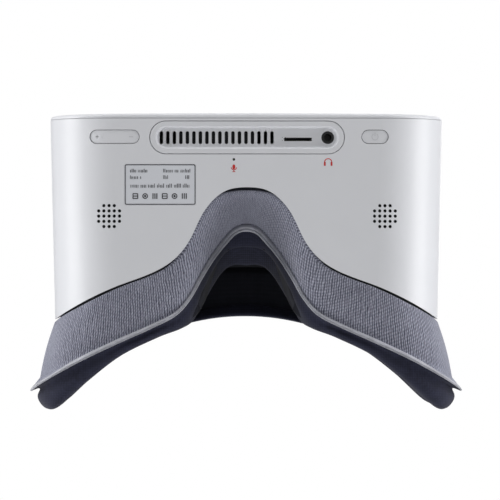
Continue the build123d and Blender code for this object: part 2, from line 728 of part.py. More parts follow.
for x in (-EYE_X, EYE_X):
    with BuildPart() as lens_barrel:
        with BuildSketch(depth_plane(BARREL_START)):
            with Locations((x, EYE_HEIGHT)):
                Circle(27.0)
        with BuildSketch(depth_plane(BARREL_END)):
            with Locations((x, EYE_HEIGHT)):
                Circle(23.2)
        loft()
        with BuildSketch(depth_plane(BARREL_START)):
            with Locations((x, EYE_HEIGHT)):
                Circle(25.2)
        with BuildSketch(depth_plane(BARREL_END)):
            with Locations((x, EYE_HEIGHT)):
                Circle(21.4)
        loft(mode=Mode.SUBTRACT)
    save(lens_barrel.part, f"lens_barrel_{side(x)}")

    with BuildPart() as lens:
        with BuildSketch(depth_plane(LENS_DISTANCE - 6.0)):
            with Locations((x, EYE_HEIGHT)):
                Circle(LENS_RADIUS - 0.8)
        extrude(amount=-9.0)
        for radius, centre in ((44.0, LENS_DISTANCE + 38.0), (90.0, LENS_DISTANCE - 87.0)):
            with Locations((x, centre - DEPTH / 2, EYE_HEIGHT)):
                Sphere(radius, mode=Mode.INTERSECT)
    save(lens.part, f"lens_{side(x)}")

    with BuildPart() as lens_ring:
        with BuildSketch(depth_plane(BARREL_END)):
            with Locations((x, EYE_HEIGHT)):
                Circle(23.2)
                Circle(LENS_RADIUS - 0.7, mode=Mode.SUBTRACT)
        extrude(amount=-3.4)
        chamfer(lens_ring.edges().group_by(Axis.Y)[-1], length=0.6)
    save(lens_ring.part, f"lens_ring_{side(x)}")

# Rear bezel: a curved plate across the shell with two eye holes and a nose notch
bezel_front = upright_cylinder(SEAM_RADIUS + 7.2, SEAM_CENTRE)
bezel_rear = upright_cylinder(SEAM_RADIUS + 5.2, SEAM_CENTRE)
magnet_zones = (
    block((-FAR, -72), (0, DEPTH), (STRAP_HEIGHT - 8, STRAP_HEIGHT + 8)),
    block((72, FAR), (0, DEPTH), (STRAP_HEIGHT - 8, STRAP_HEIGHT + 8)),
    block((-50, -34), (0, DEPTH), (80, FAR)),
    block((34, 50), (0, DEPTH), (80, FAR)),
)
liner_core = shell_body(WALL + 3.3)
tunnel_frame_clearance = nose_tunnel(3.0)
with BuildPart() as magnets:
    add(shell_liner)
    add(liner_core, mode=Mode.SUBTRACT)
    add(bezel_front, mode=Mode.INTERSECT)
    add(bezel_rear, mode=Mode.SUBTRACT)
    add(magnet_zones, mode=Mode.INTERSECT)
save(magnets.part, "shell_magnets")

with BuildPart() as rear_bezel:
    add(shell_body(WALL + 0.1))
    add(bezel_front, mode=Mode.INTERSECT)
    add(bezel_rear, mode=Mode.SUBTRACT)
    add(tunnel_frame_clearance, mode=Mode.SUBTRACT)
    with BuildSketch(depth_plane(0)):
        with Locations(*barrel_plan):
            Circle(24.4)
        with Locations((0, 78)):
            Circle(2.6)
        with Locations(*BEZEL_SCREWS):
            Circle(1.1)
        with Locations((0, 36)):
            RectangleRounded(16, 16, 3.0)
    extrude(amount=-DEPTH, mode=Mode.SUBTRACT)
    add(magnets.part, mode=Mode.SUBTRACT)
save(rear_bezel.part, "rear_bezel")

with BuildPart() as proximity_window:
    with BuildSketch(depth_plane(61.2)):
        with Locations((0, 78)):
            Circle(2.5)
    extrude(amount=-1.6)
save(proximity_window.part, "proximity_window")

with BuildPart() as proximity_board:
    with BuildSketch(depth_plane(58.6)):
        with Locations((0, 78)):
            RectangleRounded(12, 8, 1.0)
    extrude(amount=-1.0)
    with BuildSketch(depth_plane(59.6)):
        with Locations((0, 78)):
            Rectangle(3.4, 3.0)
    extrude(amount=-0.9)
save(proximity_board.part, "proximity_board")

# Fasteners, each group identical
with BuildPart() as bezel_screws:
    for x, z in BEZEL_SCREWS:
        surface = SEAM_CENTRE - ((SEAM_RADIUS + 5.2) ** 2 - x**2) ** 0.5
        with BuildSketch(depth_plane(surface + 2.2)):
            with Locations((x, z)):
                Circle(2.0)
                RegularPolygon(0.8, 6, mode=Mode.SUBTRACT)
        extrude(amount=1.1)
        with BuildSketch(depth_plane(surface + 1.2)):
            with Locations((x, z)):
                Circle(0.98)
        extrude(amount=8.0)
save(bezel_screws.part, "bezel_screws")

with BuildPart() as board_screws:
    for x, z in BOARD_SCREWS:
        with BuildSketch(depth_plane(MAINBOARD_DISTANCE - 0.2)):
            with Locations((x, z)):
                Circle(2.2)
                RegularPolygon(0.8, 6, mode=Mode.SUBTRACT)
        extrude(amount=1.1)
        with BuildSketch(depth_plane(MAINBOARD_DISTANCE - 0.2)):
            with Locations((x, z)):
                Circle(1.0)
        extrude(amount=-4.0)
save(board_screws.part, "board_screws")

# Strap bushes: metal cups let into the sides
for sign in (-1, 1):
    face = half_width_at(STRAP_DISTANCE)
    with BuildPart() as strap_bush:
        with BuildSketch(Plane.YZ.offset(sign * (face - 0.8))):
            with Locations((STRAP_DISTANCE - DEPTH / 2, STRAP_HEIGHT)):
                Circle(4.5)
        extrude(amount=-sign * 1.6)
        with BuildSketch(Plane.YZ.offset(sign * (face - 2.4))):
            with Locations((STRAP_DISTANCE - DEPTH / 2, STRAP_HEIGHT)):
                Circle(5.6)
        extrude(amount=-sign * 4.6)
        with BuildSketch(Plane.YZ.offset(sign * (face - 0.8))):
            with Locations((STRAP_DISTANCE - DEPTH / 2, STRAP_HEIGHT)):
                Circle(2.5)
        extrude(amount=-sign * 5.0, mode=Mode.SUBTRACT)
    save(strap_bush.part, f"strap_bush_{side(sign)}")

# Face gasket: a rigid frame plugged into the shell, the fabric skirt, its edge, the foam and the flap
gasket_start = upright_cylinder(SEAM_RADIUS - SEAM_GAP, SEAM_CENTRE)
behind_lip = upright_cylinder(LIP_RADIUS, LIP_CENTRE)
frame_front = upright_cylinder(SEAM_RADIUS + 4.6, SEAM_CENTRE)
frame_rear = upright_cylinder(SEAM_RADIUS - 3.4, SEAM_CENTRE)
keeper_rear = upright_cylinder(SEAM_RADIUS + 3.4, SEAM_CENTRE)
tunnel_frame_gap = nose_tunnel(0.5)
with BuildPart() as gasket_keepers:
    add(shell_liner)
    add(liner_core, mode=Mode.SUBTRACT)
    add(frame_front, mode=Mode.INTERSECT)
    add(keeper_rear, mode=Mode.SUBTRACT)
    add(magnet_zones, mode=Mode.INTERSECT)
save(gasket_keepers.part, "gasket_keepers")

with BuildPart() as gasket_frame:
    add(shell_liner)
    add(liner_core, mode=Mode.SUBTRACT)
    add(frame_front, mode=Mode.INTERSECT)
    add(frame_rear, mode=Mode.SUBTRACT)
    add(gasket_keepers.part, mode=Mode.SUBTRACT)
    add(tunnel_frame_gap, mode=Mode.SUBTRACT)
save(gasket_frame.part, "gasket_frame")


def skirt_body(inset):
    """Solid inside the fabric skirt, which leaves the shell flush and flares towards the face."""
    spare = 1.0 if inset > 0 else 0.0
    return lofted_body(
        (30.0 - spare, half_width_at(30) - inset, inset, top_at(30) - inset, CORNER_RADIUS - inset),
        (97.0, half_width_at(97) - inset, 0.1 + inset, top_at(97) - inset, CORNER_RADIUS - inset),
        (134.0 + spare, 100.5 - inset, 2.4 + inset, 99.0 - inset, 33.0 - inset),
    )


slanted_half = Plane(origin=(0, 57.0 - DEPTH / 2, 34.0), z_dir=(0, 32.0, 42.0))
with BuildPart() as nose_lining:
    add(nose_tunnel(-0.6))
    add(nose_tunnel(-2.6), mode=Mode.SUBTRACT)
    split(bisect_by=slanted_half, keep=Keep.BOTTOM)
    add(block((-FAR, FAR), (0, DEPTH), (0.5, 34.0)), mode=Mode.INTERSECT)
    add(behind_lip, mode=Mode.SUBTRACT)

with BuildPart() as skirt_region:
    add(gasket_start)
    add(behind_seam_outline(SEAM_GAP))

with BuildPart() as gasket_fabric:
    add(skirt_body(0))
    add(skirt_body(WALL), mode=Mode.SUBTRACT)
    add(skirt_region.part, mode=Mode.INTERSECT)
    add(behind_lip, mode=Mode.SUBTRACT)
    add(nose_tunnel(-2.6), mode=Mode.SUBTRACT)
    add(nose_lining.part)
save(gasket_fabric.part, "gasket_fabric")

with BuildPart() as gasket_piping:
    add(lofted_body((70, 91.0, 0.6, 98.0, 31.0), (132, 102.4, 1.4, 100.0, 34.0)))
    add(lofted_body((69, 86.0, 5.2, 93.0, 27.0), (133, 96.0, 6.6, 94.6, 28.0)), mode=Mode.SUBTRACT)
    add(behind_lip, mode=Mode.INTERSECT)
    add(upright_cylinder(LIP_RADIUS - 1.4, LIP_CENTRE), mode=Mode.SUBTRACT)
    add(nose_tunnel(-0.4), mode=Mode.SUBTRACT)
save(gasket_piping.part, "gasket_piping")

with BuildPart() as face_cushion:
    add(
        lofted_body(
            (78, 94.0, 2.2, 97.0, 32.0), (128, 98.5, 2.6, 97.5, 33.0), (138, 91.0, 8.0, 92.0, 29.0)
        )
    )
    add(lofted_body((70, 77.0, 20.0, 83.0, 18.0), (145, 81.0, 18.0, 85.0, 18.0)), mode=Mode.SUBTRACT)
    add(upright_cylinder(LIP_RADIUS - 1.5, LIP_CENTRE), mode=Mode.INTERSECT)
    add(upright_cylinder(FACE_RADIUS, FACE_CENTRE), mode=Mode.SUBTRACT)
    add(nose_tunnel(-0.4), mode=Mode.SUBTRACT)
save(face_cushion.part, "face_cushion")

# Nose flap: a soft dark bridge above the nose, between the arch and the bezel
with BuildPart() as nose_flap:
    with BuildSketch(Plane.YZ):
        with BuildLine():
            FilletPolyline(
                (55.6 - DEPTH / 2, 35.0),
                (58.0 - DEPTH / 2, 38.6),
                (68.0 - DEPTH / 2, 42.6),
                (68.6 - DEPTH / 2, 41.2),
                (59.2 - DEPTH / 2, 37.4),
                (57.2 - DEPTH / 2, 35.0),
                radius=0.5,
                close=True,
            )
        make_face()
    extrude(amount=6.0, both=True)
save(nose_flap.part, "nose_flap")
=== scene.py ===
"""Standalone VR headset: the looks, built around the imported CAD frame."""

import math
import random

import bmesh
import bpy
import numpy as np
from mathutils import Matrix, Vector


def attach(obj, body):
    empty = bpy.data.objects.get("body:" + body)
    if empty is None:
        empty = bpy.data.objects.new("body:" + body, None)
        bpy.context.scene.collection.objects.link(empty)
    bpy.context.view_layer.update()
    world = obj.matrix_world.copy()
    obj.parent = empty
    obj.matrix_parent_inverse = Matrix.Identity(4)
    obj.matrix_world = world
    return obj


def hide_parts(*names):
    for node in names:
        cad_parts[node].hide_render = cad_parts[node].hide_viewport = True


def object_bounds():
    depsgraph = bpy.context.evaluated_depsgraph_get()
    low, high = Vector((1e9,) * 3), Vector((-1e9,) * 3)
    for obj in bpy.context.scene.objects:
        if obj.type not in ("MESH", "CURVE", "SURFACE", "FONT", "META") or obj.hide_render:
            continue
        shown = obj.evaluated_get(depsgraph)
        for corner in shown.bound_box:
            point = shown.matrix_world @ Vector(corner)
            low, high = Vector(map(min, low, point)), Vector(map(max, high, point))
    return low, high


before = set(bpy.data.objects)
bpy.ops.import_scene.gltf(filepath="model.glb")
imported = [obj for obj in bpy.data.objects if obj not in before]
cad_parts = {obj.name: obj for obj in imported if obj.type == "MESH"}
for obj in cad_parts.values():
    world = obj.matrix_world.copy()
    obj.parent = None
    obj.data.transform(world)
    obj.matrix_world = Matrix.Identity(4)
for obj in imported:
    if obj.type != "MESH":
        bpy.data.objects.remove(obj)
cad_low, cad_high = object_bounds()

MM = 0.001
FRONT_Y = cad_low[1] / MM


def place(x, distance, height):
    """Point in metres, from x, distance behind the front and height, all in millimetres."""
    return (x * MM, (FRONT_Y + distance) * MM, height * MM)


def piece(bm, name, materials, body):
    """Object made of the mesh built so far, which rides on a body."""
    bmesh.ops.recalc_face_normals(bm, faces=bm.faces)
    mesh = bpy.data.meshes.new(name)
    bm.to_mesh(mesh)
    bm.free()
    for material in materials:
        mesh.materials.append(material)
    obj = bpy.data.objects.new(name, mesh)
    bpy.context.scene.collection.objects.link(obj)
    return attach(obj, body)


# ---------------------------------------------------------------- materials


def new_material(name):
    """New node material, its tree and its Principled shader."""
    material = bpy.data.materials.new(name)
    material.use_nodes = True
    return material, material.node_tree, material.node_tree.nodes["Principled BSDF"]


def noise(tree, scale, detail=4.0, roughness=0.55, coordinates=None):
    """Noise texture on object coordinates, or on the coordinates given."""
    node = tree.nodes.new("ShaderNodeTexNoise")
    node.inputs["Scale"].default_value = scale
    node.inputs["Detail"].default_value = detail
    node.inputs["Roughness"].default_value = roughness
    if coordinates is None:
        coordinates = tree.nodes.new("ShaderNodeTexCoord").outputs["Object"]
    tree.links.new(coordinates, node.inputs["Vector"])
    return node.outputs["Fac"]


def stretched(tree, coordinates, scales):
    """The coordinates with each axis multiplied."""
    node = tree.nodes.new("ShaderNodeVectorMath")
    node.operation = "MULTIPLY"
    node.inputs[1].default_value = scales
    tree.links.new(coordinates, node.inputs[0])
    return node.outputs["Vector"]


def ramp(tree, value, stops):
    """Colour ramp through (position, colour) stops."""
    node = tree.nodes.new("ShaderNodeValToRGB")
    elements = node.color_ramp.elements
    while len(elements) < len(stops):
        elements.new(0.5)
    for element, (position, colour) in zip(elements, stops):
        element.position = position
        element.color = (*colour, 1.0)
    tree.links.new(value, node.inputs["Fac"])
    return node.outputs["Color"]


def calc(tree, operation, *values):
    """Math node on sockets or numbers."""
    node = tree.nodes.new("ShaderNodeMath")
    node.operation = operation
    for socket, value in zip(node.inputs, values):
        if isinstance(value, (int, float)):
            socket.default_value = value
        else:
            tree.links.new(value, socket)
    return node.outputs["Value"]


def wave(tree, value, pitch):
    """Sine of a length, one turn a pitch, from 0 to 1."""
    turns = calc(tree, "MULTIPLY", value, 2 * math.pi / pitch)
    return calc(tree, "MULTIPLY_ADD", calc(tree, "SINE", turns), 0.5, 0.5)


def bump(tree, shader, height, strength, distance):
    """Bump from a height socket, of a distance in metres."""
    node = tree.nodes.new("ShaderNodeBump")
    node.inputs["Strength"].default_value = strength
    node.inputs["Distance"].default_value = distance
    tree.links.new(height, node.inputs["Height"])
    tree.links.new(node.outputs["Normal"], shader.inputs["Normal"])


def scaled(colour, factor):
    """Lighter or darker colour, kept within 1."""
    return tuple(min(1.0, channel * factor) for channel in colour)


def moulded(name, colour, roughness, grain=0.3, spread=0.03, coat=0.0, grain_scale=2600.0):
    """Moulded plastic or print: faint mottling, a fine grain and uneven gloss."""
    material, tree, shader = new_material(name)
    broad = noise(tree, 38.0, 3.0)
    colours = ramp(tree, broad, ((0.3, scaled(colour, 1 - spread)), (0.7, scaled(colour, 1 + spread))))
    tree.links.new(colours, shader.inputs["Base Color"])
    gloss = calc(tree, "MULTIPLY_ADD", noise(tree, 160.0, 5.0), 0.14, roughness - 0.07)
    tree.links.new(gloss, shader.inputs["Roughness"])
    shader.inputs["Coat Weight"].default_value = coat
    shader.inputs["Coat Roughness"].default_value = 0.25
    bump(tree, shader, noise(tree, grain_scale, 2.0), grain, 0.00004)
    return material


def brushed(name, colour, roughness, direction):
    """Metal with fine streaks along one axis."""
    material, tree, shader = new_material(name)
    coordinates = tree.nodes.new("ShaderNodeTexCoord").outputs["Object"]
    streaks = noise(tree, 900.0, 3.0, 0.6, stretched(tree, coordinates, direction))
    colours = ramp(tree, streaks, ((0.3, scaled(colour, 0.82)), (0.7, colour)))
    tree.links.new(colours, shader.inputs["Base Color"])
    tree.links.new(calc(tree, "MULTIPLY_ADD", streaks, 0.2, roughness - 0.1), shader.inputs["Roughness"])
    shader.inputs["Metallic"].default_value = 1.0
    bump(tree, shader, streaks, 0.25, 0.00003)
    return material


def speckled(name, base, pad_colour, scale, roughness):
    """Two-tone surface with small sharp marks, such as tracks and pads on a circuit board."""
    material, tree, shader = new_material(name)
    cells = tree.nodes.new("ShaderNodeTexVoronoi")
    cells.distance = "CHEBYCHEV"
    cells.inputs["Scale"].default_value = scale
    tree.links.new(tree.nodes.new("ShaderNodeTexCoord").outputs["Object"], cells.inputs["Vector"])
    mix = calc(tree, "GREATER_THAN", noise(tree, scale * 0.8, 2.0), 0.5)
    pads = calc(tree, "LESS_THAN", cells.outputs["Distance"], 0.18)
    colours = ramp(tree, calc(tree, "MULTIPLY", mix, pads), ((0.0, base), (1.0, pad_colour)))
    tree.links.new(colours, shader.inputs["Base Color"])
    shader.inputs["Roughness"].default_value = roughness
    bump(tree, shader, cells.outputs["Distance"], 0.3, 0.00008)
    return material


def woven(name, dark, light, pitch, roughness=0.85, sheen=0.3):
    """Fine plain weave on object coordinates, the same at any angle."""
    material, tree, shader = new_material(name)
    split = tree.nodes.new("ShaderNodeSeparateXYZ")
    tree.links.new(tree.nodes.new("ShaderNodeTexCoord").outputs["Object"], split.inputs["Vector"])
    threads = [wave(tree, split.outputs[axis], pitch) for axis in "XYZ"]
    weave = calc(tree, "MULTIPLY", calc(tree, "ADD", threads[0], threads[1]), 0.5)
    weave = calc(tree, "MULTIPLY", weave, calc(tree, "MULTIPLY_ADD", threads[2], 0.4, 0.6))
    mottling = calc(tree, "MULTIPLY", noise(tree, 240.0), 0.5)
    mottled = calc(tree, "ADD", calc(tree, "MULTIPLY", weave, 0.55), mottling)
    tree.links.new(ramp(tree, mottled, ((0.25, dark), (0.8, light))), shader.inputs["Base Color"])
    shader.inputs["Roughness"].default_value = roughness
    shader.inputs["Sheen Weight"].default_value = sheen
    shader.inputs["Sheen Roughness"].default_value = 0.5
    bump(tree, shader, mottled, 0.5, 0.0001)
    return material


RIB_PITCH = 1.05 * MM
STITCH_PITCH = 1.7 * MM


def knit(name, dark, light):
    """Ribbed knit: ribs a pitch apart along the first UV, with slanting stitches along the second."""
    material, tree, shader = new_material(name)
    uv = tree.nodes.new("ShaderNodeUVMap").outputs["UV"]
    split = tree.nodes.new("ShaderNodeSeparateXYZ")
    tree.links.new(uv, split.inputs["Vector"])
    long_noise = noise(tree, 520.0, 3.0, 0.6, stretched(tree, uv, (1.0, 0.35, 1.0)))
    drift = calc(tree, "MULTIPLY", calc(tree, "SUBTRACT", long_noise, 0.5), 1.5 * RIB_PITCH)
    across = calc(tree, "ADD", split.outputs["X"], drift)
    rib = wave(tree, across, RIB_PITCH)
    slant = calc(tree, "MULTIPLY", split.outputs["X"], 0.9)
    stitch = wave(tree, calc(tree, "ADD", split.outputs["Y"], slant), STITCH_PITCH)
    yarn = calc(tree, "MULTIPLY", rib, calc(tree, "MULTIPLY_ADD", stitch, 0.45, 0.55))
    flecks = noise(tree, 1500.0, 3.0, 0.7, stretched(tree, uv, (1.0, 0.45, 1.0)))
    tone = calc(tree, "ADD", calc(tree, "MULTIPLY", yarn, 0.6), calc(tree, "MULTIPLY", flecks, 0.45))
    broad = calc(tree, "MULTIPLY_ADD", noise(tree, 45.0, 2.0), 0.16, -0.08)
    tone = calc(tree, "ADD", tone, broad)
    tree.links.new(ramp(tree, tone, ((0.15, dark), (0.82, light))), shader.inputs["Base Color"])
    shader.inputs["Roughness"].default_value = 0.9
    shader.inputs["Specular IOR Level"].default_value = 0.2
    shader.inputs["Sheen Weight"].default_value = 0.8
    shader.inputs["Sheen Roughness"].default_value = 0.45
    shader.inputs["Sheen Tint"].default_value = (0.80, 0.82, 0.95, 1.0)
    bump(tree, shader, yarn, 0.7, 0.00022)
    return material


def clear(name, tint, roughness):
    """Clear moulding with faint haze."""
    material, tree, shader = new_material(name)
    haze = noise(tree, 90.0, 2.0)
    tree.links.new(ramp(tree, haze, ((0.3, scaled(tint, 0.96)), (0.7, tint))), shader.inputs["Base Color"])
    tree.links.new(calc(tree, "MULTIPLY_ADD", haze, 0.03, roughness), shader.inputs["Roughness"])
    shader.inputs["Transmission Weight"].default_value = 1.0
    shader.inputs["IOR"].default_value = 1.49
    return material


WHITE = (0.80, 0.81, 0.845)
shell_paint = moulded("shell_paint", WHITE, 0.38, grain=0.18, spread=0.012, coat=0.15, grain_scale=3200.0)
panel_paint = moulded("panel_paint", scaled(WHITE, 0.97), 0.42, grain=0.3, spread=0.015)
key_mark_paint = moulded("key_mark_paint", scaled(WHITE, 0.86), 0.45, grain=0.2, spread=0.01)
key_paint = moulded("key_paint", scaled(WHITE, 1.02), 0.34, grain=0.15, spread=0.01, coat=0.2)
film = moulded("label_film", (0.76, 0.78, 0.83), 0.5, grain=0.15, spread=0.015)
ink = moulded("print_ink", (0.035, 0.037, 0.045), 0.6, grain=0.2)
red_ink = moulded("red_ink", (0.62, 0.035, 0.03), 0.55, grain=0.2)
dark_moulding = moulded("dark_moulding", (0.012, 0.013, 0.019), 0.6, grain=0.5, spread=0.2)
# Black plastic of the jack, camera and speakers; on the card socket this black is painted shade in the card
# slot.
jack_black_and_slot_shade = moulded("jack_black_and_slot_shade", (0.01, 0.01, 0.012), 0.3, grain=0.2, spread=0.1)
grey_moulding = moulded("grey_moulding", (0.05, 0.05, 0.058), 0.55, grain=0.4, spread=0.1)
silicone = moulded("silicone", (0.02, 0.02, 0.024), 0.7, grain=0.3, spread=0.15)
steel = brushed("nickel_steel", (0.62, 0.62, 0.63), 0.32, (1.0, 0.06, 1.0))
fins = brushed("anodised_fins", (0.50, 0.51, 0.53), 0.38, (0.06, 1.0, 1.0))
copper_lug = brushed("contact_metal", (0.75, 0.62, 0.36), 0.3, (1.0, 1.0, 0.1))
board = speckled("solder_mask", (0.012, 0.055, 0.03), (0.55, 0.48, 0.25), 700.0, 0.4)
cell = moulded("cell_wrap", (0.05, 0.065, 0.10), 0.35, grain=0.1, spread=0.06, coat=0.3)
amber = moulded("amber_film", (0.42, 0.2, 0.035), 0.35, grain=0.1, spread=0.08, coat=0.2)
screen = moulded("screen_face", (0.008, 0.008, 0.012), 0.12, grain=0.05, spread=0.1, coat=0.6)
lens_glass = clear("lens_clear", (0.93, 0.95, 0.97), 0.02)
window_glass = clear("window_clear", (0.35, 0.36, 0.42), 0.05)
mesh_cloth = woven("acoustic_mesh", (0.004, 0.004, 0.005), (0.03, 0.03, 0.033), 0.35 * MM)

finishes = {
    shell_paint: "upper_shell lower_shell front_cover",
    panel_paint: "port_panel",
    key_paint: "volume_rocker power_button",
    film: "label_plate",
    dark_moulding: "rear_bezel display_frame optical_frame lens_barrel_left lens_barrel_right gasket_frame "
    "lens_ring_left lens_ring_right blower_housing blower_lid",
    grey_moulding: "battery_tray blower_impeller volume_switches power_switch",
    # microsd_socket takes this black as painted shade that darkens the card slot; the other parts here are
    # black of their own.
    jack_black_and_slot_shade: "audio_jack camera_module speaker_left speaker_right microsd_socket",
    board: "mainboard volume_board port_board usb_board proximity_board microphone",
    steel: "usb_port processor_shield radio_shield strap_bush_left strap_bush_right "
    "bezel_screws board_screws camera_bezel",
    copper_lug: "gasket_keepers shell_magnets",
    fins: "heatsink",
    silicone: "mic_boot speaker_seals thermal_pad",
    mesh_cloth: "speaker_meshes",
    cell: "battery_pack",
    lens_glass: "lens_left lens_right",
    window_glass: "camera_window proximity_window",
    screen: "display_panel",
    amber: "display_flex",
}
for material, names in finishes.items():
    for name in names.split():
        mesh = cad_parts[name].data
        mesh.materials.clear()
        mesh.materials.append(material)


# ---------------------------------------------------------------- gasket loops

# Half of each loop round the face gasket, from the nose to the forehead: x, distance, height.
# The seam is where the cloth leaves the shell, the lip is its far edge, the tip is the piping's outer
# edge, the face is the middle of the foam's rear, and inner is the foam's edge at the eyes.
seam_half = (
    (0, 34.2, 0.2), (8.9, 35.5, 0.15), (16.1, 40.6, 0.1), (21.3, 48, 0), (25.0, 56, 0), (29.9, 63.6, 0),
    (36.5, 69.6, 0), (46, 74.4, 0), (60, 79.6, 0), (73.2, 85.8, 3), (84.9, 92.3, 13.6), (89.8, 95.8, 29),
    (89.8, 95.8, 50), (89.8, 95.8, 68), (84.7, 92.2, 83), (73.2, 85.8, 93.6), (60, 79.6, 96.8),
    (40, 73.1, 97.6), (20, 69.3, 98), (0, 68.3, 98),
)
lip_half = (
    (0, 51.2, 32), (6, 53.2, 31), (11.3, 59, 27.5), (16.8, 66.5, 21), (22.0, 75.5, 14), (26.8, 84.5, 8),
    (33.2, 91.8, 4.6), (44, 97.4, 3.2), (60, 104.4, 2.6), (76, 112, 5), (89.6, 119.2, 14.5),
    (96.4, 122.6, 31), (97.5, 123.4, 50), (96.4, 122.6, 68), (89.6, 119.2, 84.5), (76, 112, 94.5),
    (60, 104.4, 97.3), (40, 96.8, 98), (20, 91, 98.3), (0, 88.8, 98.4),
)
tip_half = (
    (0, 51.8, 29.8), (6.1, 53.9, 28.8), (11.5, 59.8, 25.3), (17.0, 67.3, 18.9), (22.2, 76.2, 11.9),
    (27.0, 85.1, 6.0), (33.5, 92.4, 2.5), (44.2, 98.0, 1.0), (60.4, 105.4, 0.5), (77.5, 113.6, 2.6),
    (94.0, 123.2, 10.5), (101.2, 128.4, 29.5), (102.2, 129.5, 50), (101.2, 128.4, 69.5), (94.0, 123.2, 86.5),
    (77.5, 113.6, 96.6), (60, 105.2, 99.4), (40, 97.4, 100.1), (20, 91.6, 100.4), (0, 89.4, 100.5),
)
face_half = (
    (0, 61.5, 38.0), (7.2, 62.6, 37.4), (12.4, 67.4, 35.0), (16.9, 75.0, 30.0), (20.6, 83.0, 24.4),
    (24.0, 91.0, 18.4), (29.4, 98.8, 12.6), (42, 104.0, 8.4), (59.5, 112.8, 7), (75.5, 125.4, 8.4),
    (89.0, 137.6, 17), (93.2, 139.4, 33), (93.6, 139.6, 50), (93.2, 139.4, 68), (88.0, 137.4, 81),
    (75.0, 125.0, 89.5), (57.5, 111.8, 91.5), (38, 102.2, 92), (19, 97.2, 92.4), (0, 95.6, 92.6),
)
inner_half = (
    (0, 62.0, 45.5), (7.2, 63.2, 45.0), (11.8, 67.4, 43.0), (15.6, 74.5, 39.5), (18.8, 82.5, 35.0),
    (21.6, 90.5, 29.5), (26.0, 97.4, 24.0), (38, 102.0, 20.5), (54, 109.0, 19.5), (67.5, 118.4, 22.0),
    (76, 126.0, 29.0), (78.5, 128.2, 38.5), (79, 128.6, 50), (78.5, 128.2, 66), (76, 126.0, 75),
    (67.5, 118.4, 81.5), (54, 109.0, 83.6), (36, 101.2, 84.0), (18, 96.4, 84.3), (0, 95.0, 84.4),
)
STEPS = 14


def loop(half):
    """Closed smooth loop, in millimetres, through the half's points and their mirror images."""
    right = [np.array(p, float) for p in half]
    left = [p * (-1, 1, 1) for p in reversed(right[1:-1])]
    knots = right + left
    count = len(knots)
    rows = []
    for k in range(count):
        before, start, end, after = (knots[(k + j) % count] for j in (-1, 0, 1, 2))
        for step in range(STEPS):
            t = step / STEPS
            rows.append(
                0.5 * (
                    2 * start + (end - before) * t + (2 * before - 5 * start + 4 * end - after) * t**2
                    + (3 * start - before - 3 * end + after) * t**3
                )
            )
    return np.array(rows)


def unit(vectors):
    """The vectors, each with a length of 1."""
    return vectors / np.maximum(np.linalg.norm(vectors, axis=-1, keepdims=True), 1e-9)


def weight(loop_points, x_from, x_to):
    """From 0 to 1 as the distance from the middle goes from one x to another."""
    return np.clip((np.abs(loop_points[:, :1]) - x_from) / (x_to - x_from), 0, 1)


NOSE_HALF, NOSE_TOP = 26, 45
NOSE_STRETCH = 1.1
seam, lip, tip, face, inner = (loop(h) for h in (seam_half, lip_half, tip_half, face_half, inner_half))
along = unit(np.roll(lip, -1, axis=0) - np.roll(lip, 1, axis=0))
back = unit(lip - seam)
outward = unit(np.cross(along, back))
centre = np.array((0.0, 90.0, 52.0))
if (outward[len(lip) // 2] * (lip[len(lip) // 2] - centre)).sum() < 0:
    outward = -outward
# Weight of the nose arch: 1 in the middle of the loop's lower half, and 0 beside the nose.
nose = np.clip(1 - np.abs(lip[:, 0]) / NOSE_HALF, 0, 1) * (lip[:, 2] < NOSE_TOP)
at_nose = nose[:, None]
# Length round the gasket at each point, for the ribs of the knit. It grows faster at the nose.
ring_steps = np.linalg.norm(np.diff((seam + lip)[:, [0, 2]] / 2, axis=0), axis=1)
ring_length = np.concatenate(([0.0], np.cumsum(ring_steps * (1 + NOSE_STRETCH * nose[1:]))))


def swept(name, rows, material, lengths=None, inner_material=None, inner_from=0):
    """Mesh through section rows, rows[section point][round the loop] in millimetres, on the gasket."""
    rows = np.array(rows)
    sections, around = rows.shape[:2]
    bm = bmesh.new()
    grid = [[bm.verts.new(place(*p)) for p in row] for row in rows]
    uv = bm.loops.layers.uv.new("UVMap")
    if lengths is None:
        steps = np.linalg.norm(np.diff(rows, axis=0), axis=2).mean(axis=1)
        lengths = np.concatenate(([0.0], np.cumsum(steps)))
        lengths = np.append(lengths, lengths[-1] + steps.mean())
    rounds = np.append(ring_length, ring_length[-1] + (ring_length[1] - ring_length[0]))
    for i in range(sections):
        nxt = (i + 1) % sections
        for j in range(around):
            k = (j + 1) % around
            quad = bm.faces.new((grid[i][j], grid[i][k], grid[nxt][k], grid[nxt][j]))
            quad.smooth = True
            quad.material_index = 1 if inner_material and i >= inner_from else 0
            corners = ((rounds[j], lengths[i]), (rounds[j + 1], lengths[i]))
            corners += ((rounds[j + 1], lengths[i + 1]), (rounds[j], lengths[i + 1]))
            for corner, (u, v) in zip(quad.loops, corners):
                corner[uv].uv = (u * MM, v * MM)
    materials = [material, inner_material] if inner_material else [material]
    return piece(bm, name, materials, "gasket")


# ---------------------------------------------------------------- fabric skirt

# Millimetres: the cloth's thickness, and how far it stands out between the shell and the lip.
CLOTH, BULGE = 1.1, 0.75
# At the temples the cloth turns outwards over this share of the way to the piping's outer edge.
TURNED_SHARE = 0.74
BANDS, TURNED_BANDS = 12, 3
TEMPLE_FROM, TEMPLE_TO = 70, 88
